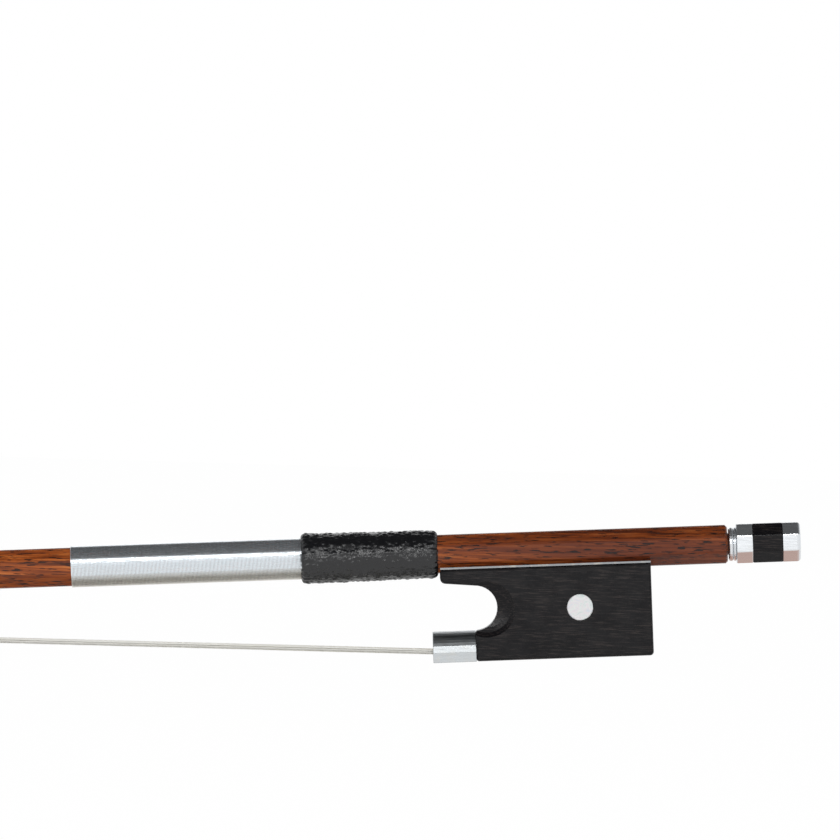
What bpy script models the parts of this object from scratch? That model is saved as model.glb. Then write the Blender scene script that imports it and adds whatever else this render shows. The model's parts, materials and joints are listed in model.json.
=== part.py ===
"""Violin bow, built as its real pieces: a cambered stick with its head, a sliding frog and its screw.

Units are metres and +Z is up. +X runs from the head to the button and Y is across the bow.
The origin is the middle of the bow's length, on the surface that the bow stands on, hair down.
The handle, the frog and the button are made in the handle's own frame. Its origin is the centre of
the stick's butt, its x axis is the screw's axis and its z axis is square to the handle's top.
"""

import math

import bmesh
import bpy
from mathutils import Matrix, Vector
from mathutils.geometry import interpolate_bezier

# Stick
STICK_LENGTH = 0.730
STICK_WIDTH_HEAD = 0.00525
STICK_WIDTH_HANDLE = 0.0085
STICK_EDGE = 0.0003
PARALLEL_HANDLE = 0.150
TAPER_POWER = 2.1
HANDLE_TILT = math.radians(3.67)
STRAIGHT_HANDLE = 0.247
STRAIGHT_HEAD = 0.090
STICK_STATIONS = 44

# Head
HEAD_LENGTH = 0.0233
HEAD_AXIS_HEIGHT = 0.0222
HEAD_CREST_HEIGHT = 0.02505
HEAD_FACE_HALF_WIDTH = 0.0050
HEAD_BACK_HALF_WIDTH = 0.0037
HEAD_CHAMFER = 0.0013
HEAD_NARROWING = 24.5
HEAD_RIDGE = 0.00025
HEAD_NOSE_HALF_WIDTH = 0.00085
HEAD_STATIONS = 30
FACE_HEIGHT = 0.00135
FACE_RADIUS = 0.080
NOSE_TOP_HEIGHT = 0.0080
NOSE_LEAN = 0.0007
PLATE_THICKNESS = 0.00095
LINER_THICKNESS = 0.0004
HEAD_MORTISE_START = 0.0137
HEAD_MORTISE_LENGTH = 0.0067
HEAD_MORTISE_HALF_WIDTH = 0.0031
HEAD_MORTISE_TOP = 0.0086

# Hair
HAIR_THICKNESS = 0.0012
HAIR_HALF_WIDTH_HEAD = 0.0039
HAIR_HALF_WIDTH_FROG = 0.0048
HAIR_BEND = 0.0014
HAIR_LOCKS = 12
HAIR_GROOVE = 0.00012
KNOT_RADIUS = 0.00115

# Lapping and leather, placed by their distance from the butt
LAPPING_END = 0.1459
LAPPING_LENGTH = 0.0511
LAPPING_WALL = 0.00032
LEATHER_LENGTH = 0.0304
LEATHER_RADIUS_FRONT = 0.00575
LEATHER_RADIUS_REAR = 0.00545
LEATHER_ROUNDING = 0.0012

# Frog, in the handle's frame
FROG_REAR = -0.0172
FROG_LENGTH = 0.0468
FROG_BOTTOM = -0.0240
FROG_TOP = -0.0035
FROG_HALF_WIDTH = 0.00545
FROG_TOP_HALF_WIDTH = 0.00435
FROG_EDGE = 0.0005
FROG_HEEL_RADIUS = 0.0008
NOSE_UNDERSIDE_FRONT = -0.0066
NOSE_UNDERSIDE_REAR = -0.0072
NOSE_ROUNDING = 0.0012
HOLLOW_X = -0.0565
HOLLOW_RADIUS = 0.00495
SCOOP_SHIFT = 0.0026
SCOOP_RADIUS = 0.0066
SCOOP_FLOOR = 0.0034
SCOOP_RISE = 0.0016
PEARL_EYE_X = -0.0332
PEARL_EYE_Z = -0.0128
PEARL_EYE_RADIUS = 0.0029
PEARL_EYE_THICKNESS = 0.0009
UNDERSLIDE_THICKNESS = 0.00045
UNDERSLIDE_LIP = 0.00042
PIN_RADIUS = 0.0006
PIN_LENGTH = 0.0011
PIN_INSET = 0.0055

# Ferrule, wedge and slide
FERRULE_LENGTH = 0.0097
FERRULE_WALL = 0.0004
FERRULE_TOP = -0.0172
FERRULE_SIDE_TOP = -0.0218
TONGUE_UNDERSIDE = -0.02025
TONGUE_SHORTER = 0.0003
WEDGE_LENGTH = 0.0055
WEDGE_THICKNESS = 0.0006
WEDGE_HALF_WIDTH = 0.0044
SLIDE_HALF_WIDTH = 0.0042
SLIDE_DOVETAIL = 0.0004
PEARL_SLIDE_THICKNESS = 0.00065
SLIDE_BASE_THICKNESS = 0.0006
SLIDE_INSIDE_FERRULE = 0.0060
HEEL_LENGTH = 0.0033
FROG_MORTISE_REAR = -0.0420
FROG_MORTISE_LENGTH = 0.0095
FROG_MORTISE_HALF_WIDTH = 0.0030
FROG_MORTISE_TOP = -0.0150

# Screw, eyelet and button
FROG_TRAVEL = 0.00762
EYELET_X = -0.0360
EYELET_LENGTH = 0.0044
EYELET_WIDTH = 0.0034
EYELET_TOP = 0.0023
EYELET_SHANK_RADIUS = 0.0015
EYELET_SHANK_END = -0.0100
SCREW_RADIUS = 0.0015
SCREW_TIP_RADIUS = 0.0011
SCREW_TIP_LENGTH = 0.0040
SCREW_INSIDE_STICK = 0.0500
SCREW_TANG_RADIUS = 0.0013
SCREW_TANG_END = 0.0140
NIPPLE_RADIUS = 0.0024
NIPPLE_LENGTH = 0.0018
BUTT_CHAMFER = 0.00045
BUTTON_WIDTH = 0.00866
BUTTON_GAP = 0.0003
COLLAR_BEAD_RADIUS = 0.0038
COLLAR_NECK_RADIUS = 0.0034
COLLAR_BEAD_LENGTHS = (0.00105, 0.00070)
COLLAR_RING_LENGTH = 0.0036
BUTTON_CORE_LENGTH = 0.0066
BUTTON_CAP_LENGTH = 0.0039
BUTTON_CAP_ROUNDING = 0.0008
BUTTON_EDGE = 0.00018

# Clearances
INLAY_GAP = 0.00005
SEAT_GAP = 0.0001
SLIDING_GAP = 0.0001
RUNNING_GAP = 0.00008
FACE_GAP = 0.0003
OVERSHOOT = 0.002

# Facets round a turned piece
ROUND_STEPS = 32
FINE_STEPS = 40
OCTAGON_FLAT = math.tan(math.pi / 8)

# Derived places along the bow, measured from the plate's nose
BUTT_X = STICK_LENGTH
CAMBER_END_X = BUTT_X - STRAIGHT_HANDLE
CAMBER_START_X = HEAD_LENGTH + STRAIGHT_HEAD
HANDLE_SLOPE = math.tan(HANDLE_TILT)
FERRULE_REAR_X = HOLLOW_X + SEAT_GAP
FERRULE_FRONT_X = FERRULE_REAR_X - FERRULE_LENGTH
FERRULE_BOTTOM = FROG_BOTTOM - INLAY_GAP
FERRULE_FLOOR = FERRULE_BOTTOM + FERRULE_WALL
FROG_FRONT_X = FROG_REAR - FROG_LENGTH
STICK_APOTHEM = STICK_WIDTH_HANDLE / 2
PEARL_SLIDE_BOTTOM = FERRULE_FLOOR + INLAY_GAP
SLIDE_BASE_BOTTOM = PEARL_SLIDE_BOTTOM + PEARL_SLIDE_THICKNESS + INLAY_GAP
SLIDE_TOP = SLIDE_BASE_BOTTOM + SLIDE_BASE_THICKNESS
HAIR_BOTTOM_FROG = SLIDE_TOP + SEAT_GAP
HAIR_LEVEL_FROG = HAIR_BOTTOM_FROG + HAIR_THICKNESS / 2
HAIR_TOP_FROG = HAIR_BOTTOM_FROG + HAIR_THICKNESS
COLLAR_FRONT = BUTTON_GAP
COLLAR_RING_FRONT = COLLAR_FRONT + sum(COLLAR_BEAD_LENGTHS)
COLLAR_REAR = COLLAR_RING_FRONT + COLLAR_RING_LENGTH
CORE_FRONT = COLLAR_REAR + INLAY_GAP
CORE_REAR = CORE_FRONT + BUTTON_CORE_LENGTH
CAP_FRONT = CORE_REAR + INLAY_GAP
CAP_REAR = CAP_FRONT + BUTTON_CAP_LENGTH

# The handle's height puts the ferrule's front lower corner on the surface at z = 0
BUTT_Z = -FERRULE_BOTTOM * math.cos(HANDLE_TILT) - FERRULE_FRONT_X * math.sin(HANDLE_TILT)
BOW_END_X = (
    BUTT_X
    + CAP_REAR * math.cos(HANDLE_TILT)
    + (BUTTON_WIDTH / 2 - BUTTON_CAP_ROUNDING) * math.sin(HANDLE_TILT)
)
MIDDLE_X = BOW_END_X / 2

WOOD = ("pernambuco", (0.33, 0.10, 0.035), 0.32, 0.0)
EBONY = ("ebony", (0.022, 0.019, 0.019), 0.30, 0.0)
SILVER = ("silver", (0.80, 0.80, 0.79), 0.24, 1.0)
PEARL = ("mother_of_pearl", (0.82, 0.83, 0.82), 0.18, 0.0)
BONE = ("white_plate", (0.84, 0.82, 0.76), 0.38, 0.0)
LEATHER = ("black_leather", (0.035, 0.035, 0.042), 0.55, 0.0)
HAIR = ("horsehair", (0.78, 0.73, 0.60), 0.50, 0.0)
BRASS = ("brass", (0.72, 0.52, 0.22), 0.32, 1.0)
STEEL = ("screw_steel", (0.58, 0.58, 0.60), 0.30, 1.0)
MAPLE = ("maple", (0.72, 0.55, 0.36), 0.60, 0.0)


def clear_scene():
    for old in list(bpy.data.objects):
        bpy.data.objects.remove(old, do_unlink=True)


def new_collection(name):
    collection = bpy.data.collections.new(name)
    bpy.context.scene.collection.children.link(collection)
    return collection


def material(look):
    name, colour, roughness, metallic = look
    made = bpy.data.materials.get(name)
    if made is None:
        made = bpy.data.materials.new(name)
        made.use_nodes = True
        shader = made.node_tree.nodes["Principled BSDF"]
        shader.inputs["Base Color"].default_value = (*colour, 1.0)
        shader.inputs["Roughness"].default_value = roughness
        shader.inputs["Metallic"].default_value = metallic
        made.diffuse_color = (*colour, 1.0)
    return made


def add_empty(name, parent, location=(0, 0, 0), tilt=0.0):
    empty = bpy.data.objects.new(name, None)
    empty.location = location
    empty.rotation_euler = (0, -tilt, 0)
    empty.parent = parent
    parts.objects.link(empty)
    return empty


def add_piece(name, mesh, look, parent, crease=30):
    """One real piece, shaded smooth except over edges sharper than the crease angle."""
    piece = bpy.data.objects.new(name, mesh)
    mesh.name = name
    mesh.materials.clear()
    mesh.materials.append(material(look))
    mesh.shade_smooth()
    mesh.set_sharp_from_angle(angle=math.radians(crease))
    piece.parent = parent
    parts.objects.link(piece)
    return piece


def add_cutter(name, mesh, parent):
    cutter = bpy.data.objects.new(name, mesh)
    cutter.parent = parent
    cutter.hide_render = True
    cutter.display_type = "WIRE"
    cutters.objects.link(cutter)
    return cutter


def combine(piece, other, operation="DIFFERENCE"):
    boolean = piece.modifiers.new(other.name, "BOOLEAN")
    boolean.operation = operation
    boolean.solver = "EXACT"
    boolean.object = other


def finish_mesh(bm, name):
    bmesh.ops.recalc_face_normals(bm, faces=bm.faces)
    mesh = bpy.data.meshes.new(name)
    bm.to_mesh(mesh)
    bm.free()
    return mesh


def rounded(mesh, width, segments=2, least_angle=50, where=None):
    """The mesh with its edges sharper than least_angle rounded over."""
    bm = bmesh.new()
    bm.from_mesh(mesh)
    sharp = [
        edge
        for edge in bm.edges
        if len(edge.link_faces) == 2
        and edge.calc_face_angle() > math.radians(least_angle)
        and (where is None or where(edge))
    ]
    bmesh.ops.bevel(
        bm, geom=sharp, offset=width, segments=segments, profile=0.5, affect="EDGES"
    )
    return finish_mesh(bm, mesh.name)


def flat_outline(name, loops, thickness):
    """A mesh plate with the outline's inner loops as holes, centred on its own XY plane."""
    curve = bpy.data.curves.new(name, "CURVE")
    curve.dimensions = "2D"
    curve.fill_mode = "BOTH"
    curve.extrude = thickness / 2
    for loop in loops:
        spline = curve.splines.new("POLY")
        spline.points.add(len(loop) - 1)
        for point, (u, v) in zip(spline.points, loop):
            point.co = (u, v, 0, 1)
        spline.use_cyclic_u = True
    outline = bpy.data.objects.new(name, curve)
    cutters.objects.link(outline)
    graph = bpy.context.evaluated_depsgraph_get()
    mesh = bpy.data.meshes.new_from_object(outline.evaluated_get(graph))
    bpy.data.objects.remove(outline, do_unlink=True)
    bm = bmesh.new()
    bm.from_mesh(mesh)
    bmesh.ops.remove_doubles(bm, verts=bm.verts, dist=1e-6)
    return finish_mesh(bm, name)


SIDE_AXES = Matrix(((1, 0, 0, 0), (0, 0, -1, 0), (0, 1, 0, 0), (0, 0, 0, 1)))
SECTION_AXES = Matrix(((0, 0, 1, 0), (1, 0, 0, 0), (0, 1, 0, 0), (0, 0, 0, 1)))


def side_prism(name, loops, half_width):
    """An (x, z) outline made solid across the bow, from -half_width to half_width."""
    mesh = flat_outline(name, loops, 2 * half_width)
    mesh.transform(SIDE_AXES)
    return mesh


def section_prism(name, loops, front, rear):
    """A (y, z) outline made solid along x, from front to rear."""
    mesh = flat_outline(name, loops, rear - front)
    mesh.transform(Matrix.Translation(((front + rear) / 2, 0, 0)) @ SECTION_AXES)
    return mesh


def plan_prism(name, loops, bottom, top):
    """An (x, y) outline made solid upwards, from bottom to top."""
    mesh = flat_outline(name, loops, top - bottom)
    mesh.transform(Matrix.Translation((0, 0, (bottom + top) / 2)))
    return mesh


def box(name, low, high):
    bm = bmesh.new()
    bmesh.ops.create_cube(bm, size=1)
    size = Vector(high) - Vector(low)
    middle = (Vector(high) + Vector(low)) / 2
    bmesh.ops.transform(bm, matrix=Matrix.Translation(middle) @ Matrix.Diagonal((*size, 1)), verts=bm.verts)
    return finish_mesh(bm, name)


TO_X = Matrix.Rotation(math.pi / 2, 4, "Y")
TO_Y = Matrix.Rotation(-math.pi / 2, 4, "X")


def rod(name, radius, start, end, axis=TO_X, steps=ROUND_STEPS):
    """A round rod between two places on the x, y or z axis."""
    bm = bmesh.new()
    turn = Matrix.Rotation(math.pi / steps, 4, "Z")
    bmesh.ops.create_cone(
        bm, cap_ends=True, segments=steps, radius1=radius, radius2=radius, depth=end - start
    )
    lift = Matrix.Translation((0, 0, (start + end) / 2))
    bmesh.ops.transform(bm, matrix=axis @ lift @ turn, verts=bm.verts)
    return finish_mesh(bm, name)


def octagon_rod(name, apothem, start, end):
    return rod(name, apothem / math.cos(math.pi / 8), start, end, steps=8)


def turned(name, profile, steps=ROUND_STEPS):
    """A solid turned about the x axis from (x, radius) points, given from the front to the rear."""
    mesh = bpy.data.meshes.new(name)
    points = [(radius, 0, -x) for x, radius in profile]
    mesh.from_pydata(points, [(n, n + 1) for n in range(len(points) - 1)], [])
    lathe = bpy.data.objects.new(name, mesh)
    cutters.objects.link(lathe)
    screw = lathe.modifiers.new("turn", "SCREW")
    screw.axis = "Z"
    screw.steps = steps
    screw.render_steps = steps
    screw.use_merge_vertices = True
    screw.merge_threshold = 1e-6
    graph = bpy.context.evaluated_depsgraph_get()
    solid = bpy.data.meshes.new_from_object(lathe.evaluated_get(graph))
    bpy.data.objects.remove(lathe, do_unlink=True)
    solid.transform(Matrix.Rotation(-math.pi / 2, 4, "Y"))
    bm = bmesh.new()
    bm.from_mesh(solid)
    bmesh.ops.remove_doubles(bm, verts=bm.verts, dist=1e-7)
    return finish_mesh(bm, name)


def loft(name, rings):
    """A closed skin through rings that have equally many points."""
    bm = bmesh.new()
    rows = [[bm.verts.new(point) for point in ring] for ring in rings]
    count = len(rings[0])
    for row, following in zip(rows, rows[1:]):
        for n in range(count):
            m = (n + 1) % count
            bm.faces.new((row[n], row[m], following[m], following[n]))
    bm.faces.new(rows[0])
    bm.faces.new(list(reversed(rows[-1])))
    return finish_mesh(bm, name)


def arc(centre, radius, start_degrees, end_degrees, steps):
    """Points of an arc in a plane, both ends included."""
    points = []
    for n in range(steps + 1):
        angle = math.radians(start_degrees + (end_degrees - start_degrees) * n / steps)
        points.append((centre[0] + radius * math.cos(angle), centre[1] + radius * math.sin(angle)))
    return points


def smooth_step(value):
    held = min(max(value, 0.0), 1.0)
    return held * held * (3 - 2 * held)


def mix(a, b, share):
    return a + (b - a) * share


def head_slope():
    """The slope of the stick at the head that brings its axis to the head's height."""
    camber_rise = HANDLE_SLOPE * (CAMBER_END_X - CAMBER_START_X) / 2
    camber_end_z = BUTT_Z - HANDLE_SLOPE * STRAIGHT_HANDLE
    run = (CAMBER_END_X - CAMBER_START_X) / 2 + STRAIGHT_HEAD
    return (camber_end_z - camber_rise - HEAD_AXIS_HEIGHT) / run


HEAD_SLOPE = head_slope()


def axis_height(x):
    """Height of the stick's axis: straight at both ends, with an even camber between."""
    if x >= CAMBER_END_X:
        return BUTT_Z - HANDLE_SLOPE * (BUTT_X - x)
    height = HEAD_AXIS_HEIGHT + HEAD_SLOPE * (min(x, CAMBER_START_X) - HEAD_LENGTH)
    run = max(x - CAMBER_START_X, 0.0)
    change = (HANDLE_SLOPE - HEAD_SLOPE) / (CAMBER_END_X - CAMBER_START_X)
    return height + HEAD_SLOPE * run + change * run * run / 2


def axis_slope(x):
    share = (x - CAMBER_START_X) / (CAMBER_END_X - CAMBER_START_X)
    return mix(HEAD_SLOPE, HANDLE_SLOPE, min(max(share, 0.0), 1.0))


def stick_width(x):
    """Width across the stick's flats, which falls faster and faster towards the head."""
    share = (x - HEAD_LENGTH) / (STICK_LENGTH - HEAD_LENGTH - PARALLEL_HANDLE)
    left = max(1 - share, 0.0)
    return mix(STICK_WIDTH_HANDLE, STICK_WIDTH_HEAD, left**TAPER_POWER)


def octagon_side(width):
    """One side of an eight-sided section with eased edges: (height above its bottom, half-width)."""
    flat = width * OCTAGON_FLAT / 2
    corner = width / 2 - flat
    ease = STICK_EDGE
    slant = ease * math.sqrt(0.5)
    lower = [
        (0, flat - ease),
        (slant, flat + slant),
        (corner - slant, width / 2 - slant),
        (corner + ease, width / 2),
    ]
    return lower + [(width - height, half) for height, half in reversed(lower)]


def both_sides(bottom, top, side):
    """A ring across the bow from one side's (height, half-width) pairs, laid from bottom to top."""
    bottom = Vector(bottom)
    up = (Vector(top) - bottom).normalized()
    right = []
    left = []
    for height, half in side:
        place = bottom + up * height
        right.append((place.x - MIDDLE_X, half, place.y))
        left.append((place.x - MIDDLE_X, -half, place.y))
    return right + left[::-1]


def stick_ring(x, width):
    slope = math.atan(axis_slope(x))
    up = Vector((-math.sin(slope), math.cos(slope)))
    axis = Vector((x, axis_height(x)))
    return both_sides(axis - up * width / 2, axis + up * width / 2, octagon_side(width))


def chain(pieces, share):
    """A place on a chain of Bezier pieces, each given with the share at which it ends."""
    start = 0.0
    for end, points in pieces:
        if share <= end + 1e-9:
            local = (share - start) / (end - start)
            curve = [Vector((x, z, 0)) for x, z in points]
            steps = 64
            samples = interpolate_bezier(*curve, steps + 1)
            place = samples[min(round(local * steps), steps)]
            return Vector((place.x, place.y))
        start = end
    return Vector(pieces[-1][1][-1])


HEAD_JOIN = HEAD_LENGTH + 0.0075


def head_front():
    """The head's top and front: along the stick, over the crest, down the front to the nose."""
    top = axis_height(HEAD_JOIN) + stick_width(HEAD_JOIN) / 2
    crest = HEAD_CREST_HEIGHT
    nose_x = PLATE_THICKNESS
    nose_z = NOSE_TOP_HEIGHT - 0.0006
    run = HEAD_LENGTH
    along = [(HEAD_JOIN, top), (run + 0.0035, top + 0.0003), (run - 0.001, crest), (run - 0.0048, crest)]
    shoulder = [along[-1], (run - 0.0083, crest + 0.0002), (run - 0.0111, crest - 0.0029), (run - 0.0123, crest - 0.006)]
    slope = [shoulder[-1], (run - 0.0139, crest - 0.0104), (nose_x + 0.0062, nose_z), (nose_x, nose_z)]
    under = FACE_HEIGHT - 0.001
    nose = [slope[-1], (nose_x, mix(nose_z, under, 0.3)), (nose_x, mix(nose_z, under, 0.7)), (nose_x, under)]
    return [(0.20, along), (0.44, shoulder), (0.80, slope), (1.0, nose)]


def head_back():
    """The head's throat and back: from under the stick, round the throat, down to the plate."""
    under = axis_height(HEAD_JOIN) - stick_width(HEAD_JOIN) / 2
    back = HEAD_LENGTH - 0.0005
    throat = [(HEAD_JOIN, under), (back + 0.0028, under + 0.0002), (back, under - 0.003), (back, under - 0.0094)]
    heel = [throat[-1], (back, under - 0.012), (back + 0.0002, 0.0034), (back + 0.0004, 0.0004)]
    return [(0.50, throat), (1.0, heel)]


def head_side(length, bottom_z, top_z, share):
    """One side of the head's section: back flat, chamfer, cheek, front bevel and ridge."""
    ease = STICK_EDGE
    bevel = 0.0016 + 0.0069 * smooth_step(share / 0.9) ** 2
    ridge = mix(HEAD_RIDGE, HEAD_NOSE_HALF_WIDTH, smooth_step((share - 0.6) * 4))
    cheek_end = length - bevel
    plain = [
        (0, HEAD_BACK_HALF_WIDTH - ease),
        (ease, HEAD_BACK_HALF_WIDTH + ease),
        (HEAD_CHAMFER - ease, HEAD_FACE_HALF_WIDTH - ease),
        (HEAD_CHAMFER + ease, HEAD_FACE_HALF_WIDTH),
        (cheek_end - ease, HEAD_FACE_HALF_WIDTH * 0.96),
        (cheek_end + ease, HEAD_FACE_HALF_WIDTH * 0.93),
        (length - bevel * 0.45, HEAD_FACE_HALF_WIDTH * 0.58),
    ]
    side = []
    for along, half in plain:
        height = mix(bottom_z, top_z, along / length)
        side.append((along, half * (1 - HEAD_NARROWING * (height - FACE_HEIGHT))))
    return side + [(length, ridge)]


def head_ring(bottom, top, share):
    length = (top - bottom).length
    form = head_side(length, bottom.y, top.y, share)
    stick = octagon_side(length)
    blend = smooth_step(share / 0.36)
    side = [
        (mix(plain[0], shaped[0], blend), mix(plain[1], shaped[1], blend))
        for plain, shaped in zip(stick, form)
    ]
    return both_sides(bottom, top, side)


def stick_rings():
    rings = []
    front = head_front()
    back = head_back()
    for n in range(HEAD_STATIONS, 0, -1):
        share = n / HEAD_STATIONS
        rings.append(head_ring(chain(back, share), chain(front, share), share))
    span = BUTT_X - BUTT_CHAMFER * math.cos(HANDLE_TILT) - HEAD_JOIN
    for n in range(STICK_STATIONS + 1):
        x = HEAD_JOIN + span * (n / STICK_STATIONS)
        rings.append(stick_ring(x, stick_width(x)))
    small = STICK_WIDTH_HANDLE - 2 * BUTT_CHAMFER
    rings.append(stick_ring(BUTT_X, small))
    rings.append(stick_ring(BUTT_X + NIPPLE_LENGTH * math.cos(HANDLE_TILT), small))
    return rings


def face_line(depth, steps=14):
    """The line under the head at a depth inside the plate: down the nose, then back along the face."""

    def height(x):
        run = HEAD_LENGTH - x
        return FACE_HEIGHT + depth + run * run / (2 * FACE_RADIUS)

    points = [(depth + NOSE_LEAN - MIDDLE_X, NOSE_TOP_HEIGHT - depth * 0.2)]
    for n in range(steps + 1):
        x = mix(depth, HEAD_LENGTH, n / steps)
        points.append((x - MIDDLE_X, height(x)))
    return points


def face_outline():
    """The plate's outline seen from below, a shield with its point at the nose."""
    length = HEAD_LENGTH
    bevel = 0.0085
    side = [
        (0, HEAD_NOSE_HALF_WIDTH),
        (bevel * 0.45, HEAD_FACE_HALF_WIDTH * 0.60),
        (bevel * 0.75, HEAD_FACE_HALF_WIDTH * 0.83),
        (bevel, HEAD_FACE_HALF_WIDTH * 0.95),
        (length - HEAD_CHAMFER, HEAD_FACE_HALF_WIDTH),
        (length, HEAD_BACK_HALF_WIDTH),
    ]
    right = [(x - MIDDLE_X, half) for x, half in side]
    left = [(x - MIDDLE_X, -half) for x, half in reversed(side)]
    return right + left


def make_stick(parent, handle):
    stick = add_piece("stick", loft("stick", stick_rings()), WOOD, parent, crease=20)

    seat = PLATE_THICKNESS + LINER_THICKNESS + 2 * INLAY_GAP
    line = face_line(seat)
    far_front = -MIDDLE_X - 0.005
    far_back = HEAD_LENGTH - MIDDLE_X + 0.005
    under = [(far_back, line[-1][1]), (far_back, -0.01), (far_front, -0.01), (far_front, 0.02)]
    under.append((line[0][0] + NOSE_LEAN, 0.02))
    combine(stick, add_cutter("cut_head_face", side_prism("cut_head_face", [line + under], 0.02), parent))
    combine(stick, add_cutter("cut_head_mortise", head_mortise("cut_head_mortise"), parent))

    bore_end = -SCREW_INSIDE_STICK + SCREW_TIP_LENGTH
    profile = [
        (-SCREW_INSIDE_STICK - FACE_GAP, 0),
        (-SCREW_INSIDE_STICK - FACE_GAP, SCREW_TIP_RADIUS + SEAT_GAP),
        (bore_end - FACE_GAP, SCREW_TIP_RADIUS + SEAT_GAP),
        (bore_end - FACE_GAP, SCREW_RADIUS + SEAT_GAP),
        (NIPPLE_LENGTH + OVERSHOOT, SCREW_RADIUS + SEAT_GAP),
        (NIPPLE_LENGTH + OVERSHOOT, 0),
    ]
    combine(stick, add_cutter("cut_screw_bore", turned("cut_screw_bore", profile), handle))

    reach = EYELET_LENGTH / 2 + FACE_GAP
    half = EYELET_WIDTH / 2 + SEAT_GAP
    low = (EYELET_X - reach, -half, -STICK_WIDTH_HANDLE)
    high = (EYELET_X + FROG_TRAVEL + reach, half, EYELET_TOP + FACE_GAP)
    combine(stick, add_cutter("cut_eyelet_slot", box("cut_eyelet_slot", low, high), handle))

    shoulder = [
        (0, NIPPLE_RADIUS),
        (0, STICK_WIDTH_HANDLE),
        (NIPPLE_LENGTH + OVERSHOOT, STICK_WIDTH_HANDLE),
        (NIPPLE_LENGTH + OVERSHOOT, NIPPLE_RADIUS),
        (0, NIPPLE_RADIUS),
    ]
    combine(stick, add_cutter("cut_nipple", turned("cut_nipple", shoulder), handle))
    return stick


def head_mortise(name):
    start = HEAD_MORTISE_START - MIDDLE_X
    low = (start, -HEAD_MORTISE_HALF_WIDTH, -0.01)
    high = (start + HEAD_MORTISE_LENGTH, HEAD_MORTISE_HALF_WIDTH, HEAD_MORTISE_TOP)
    return box(name, low, high)


def make_head_fittings(parent):
    """The liner and the plate under the head, the plug and the hair's knot in its mortise."""
    outline = [face_outline()]
    layers = (
        ("tip_plate", 0.0, PLATE_THICKNESS, BONE),
        ("head_liner", PLATE_THICKNESS + INLAY_GAP, LINER_THICKNESS, EBONY),
    )
    for name, depth, thickness, look in layers:
        outer = face_line(depth)
        inner = face_line(depth + thickness)
        mesh = side_prism(name, [outer + inner[::-1]], HEAD_FACE_HALF_WIDTH + OVERSHOOT)
        piece = add_piece(name, mesh, look, parent)
        shape = plan_prism("shape_" + name, outline, -0.01, 0.02)
        combine(piece, add_cutter("shape_" + name, shape, parent), "INTERSECT")
        combine(piece, add_cutter("cut_" + name, head_mortise("cut_" + name), parent))

    start = HEAD_MORTISE_START - MIDDLE_X + HAIR_THICKNESS + 2 * SEAT_GAP
    end = HEAD_MORTISE_START - MIDDLE_X + HEAD_MORTISE_LENGTH - SEAT_GAP
    half = HEAD_MORTISE_HALF_WIDTH - SEAT_GAP
    low = (start + FACE_GAP, -half, HAIR_THICKNESS + FACE_GAP)
    high = (end, half, head_knot_height() - KNOT_RADIUS - SEAT_GAP)
    plug = rounded(box("head_plug", low, high), 0.0002, segments=1)
    add_piece("head_plug", plug, MAPLE, parent)

    knot = rod("head_hair_knot", KNOT_RADIUS, -half, half, axis=TO_Y, steps=20)
    knot = rounded(knot, KNOT_RADIUS * 0.35)
    knot.transform(Matrix.Translation((head_knot_x(), 0, head_knot_height())))
    add_piece("head_hair_knot", knot, HAIR, parent)


def head_knot_x():
    return HEAD_MORTISE_START - MIDDLE_X + KNOT_RADIUS + SEAT_GAP


def head_knot_height():
    return HEAD_MORTISE_TOP - KNOT_RADIUS - SEAT_GAP


def frog_knot_place():
    return (
        FROG_MORTISE_REAR - KNOT_RADIUS - SEAT_GAP,
        FROG_MORTISE_TOP - KNOT_RADIUS - SEAT_GAP,
    )


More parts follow.
